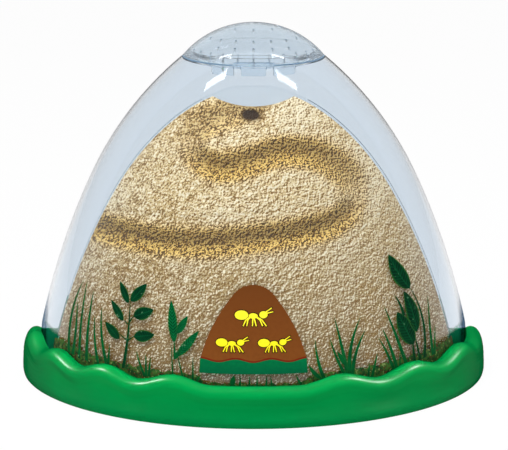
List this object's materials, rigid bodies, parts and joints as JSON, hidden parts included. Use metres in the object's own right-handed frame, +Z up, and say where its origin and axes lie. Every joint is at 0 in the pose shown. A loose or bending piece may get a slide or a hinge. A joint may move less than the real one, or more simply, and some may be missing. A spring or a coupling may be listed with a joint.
{
  "type": "ant habitat",
  "caption": "Half-dome clear ant habitat with a flat back, a vented lift-off lid, a sand layer and a green scalloped tray.",
  "frame": {"origin": "on the surface that the tray rests on, under the middle of the tray's box", "axes": "+X to the viewer's right along the flat back, -Y the front, +Z up"},
  "size_m": [0.29, 0.1502, 0.2174],
  "materials": {
    "tray_green": "moulded green plastic with a soft gloss",
    "clear_plastic": "clear polished moulding with a faint blue cast",
    "clear_back": "clear polished moulding with a faint blue cast",
    "clear_lid": "clear polished moulding with a faint blue cast",
    "clear_divider": "clear polished moulding with a faint blue cast",
    "sand": "loose dry sand grains, cream with brown ones",
    "print_green": "dark green print on clear film",
    "print_moss": "mottled green and brown print on clear film",
    "badge_brown": "brown printed label",
    "badge_green": "green printed label",
    "badge_yellow": "yellow printed figures"
  },
  "bodies": {
    "tray": {"base_tray": "tray_green", "sand_divider": "clear_divider", "sand_fill": "sand"},
    "dome": {"dome_front": "clear_plastic", "dome_back": "clear_back", "grass_left": "print_green", "sprig_left": "print_green", "fern_left": "print_green", "grass_middle": "print_green", "grass_right": "print_green", "climber_right": "print_green", "moss_band": "print_moss", "badge_mountain": "badge_brown", "badge_strip": "badge_green", "badge_ants": "badge_yellow"},
    "lid": {"vent_lid": "clear_lid"}
  },
  "joints": [
    {"name": "dome_lift", "type": "slide", "parent": "tray", "child": "dome", "axis": [0, 0, 1], "range_m": [0, 0.19]},
    {"name": "lid_lift", "type": "slide", "parent": "dome", "child": "lid", "axis": [0, 0, 1], "range_m": [0, 0.04]}
  ]
}
